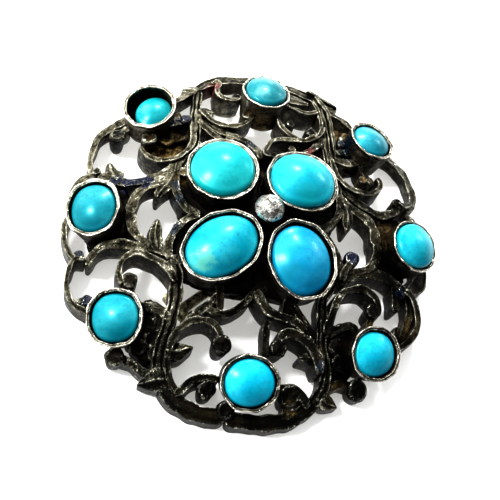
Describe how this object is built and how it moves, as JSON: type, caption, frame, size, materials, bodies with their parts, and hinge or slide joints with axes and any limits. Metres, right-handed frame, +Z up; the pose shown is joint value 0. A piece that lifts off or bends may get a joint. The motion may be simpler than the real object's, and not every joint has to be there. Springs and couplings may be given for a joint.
{
  "type": "turquoise brooch",
  "caption": "Domed round openwork brooch in tarnished silver, with turquoise cabochons in raised cup collets and a pin below.",
  "frame": {"origin": "on the ground under the middle of the dome", "axes": "+Z up through the knob in the middle, +Y towards the small top stone, +X towards the small right stone"},
  "size_m": [0.0384, 0.0395, 0.0102],
  "materials": {
    "silver": "tarnished cast silver",
    "pin_metal": "dull drawn wire",
    "inner_stone_top_left": "polished turquoise",
    "inner_stone_top_right": "polished turquoise",
    "inner_stone_bottom_left": "polished turquoise",
    "inner_stone_bottom_right": "polished turquoise",
    "outer_stone_bottom": "polished turquoise",
    "outer_stone_bottom_left": "polished turquoise",
    "outer_stone_left": "polished turquoise",
    "outer_stone_top_left": "polished turquoise",
    "outer_stone_top": "polished turquoise",
    "outer_stone_top_right": "polished turquoise",
    "outer_stone_right": "polished turquoise",
    "outer_stone_bottom_right": "polished turquoise"
  },
  "bodies": {
    "root": {"silver_frame": "silver", "pin": "pin_metal", "inner_stone_top_left": "inner_stone_top_left", "inner_stone_top_right": "inner_stone_top_right", "inner_stone_bottom_left": "inner_stone_bottom_left", "inner_stone_bottom_right": "inner_stone_bottom_right", "outer_stone_bottom": "outer_stone_bottom", "outer_stone_bottom_left": "outer_stone_bottom_left", "outer_stone_left": "outer_stone_left", "outer_stone_top_left": "outer_stone_top_left", "outer_stone_top": "outer_stone_top", "outer_stone_top_right": "outer_stone_top_right", "outer_stone_right": "outer_stone_right", "outer_stone_bottom_right": "outer_stone_bottom_right"}
  },
  "joints": []
}
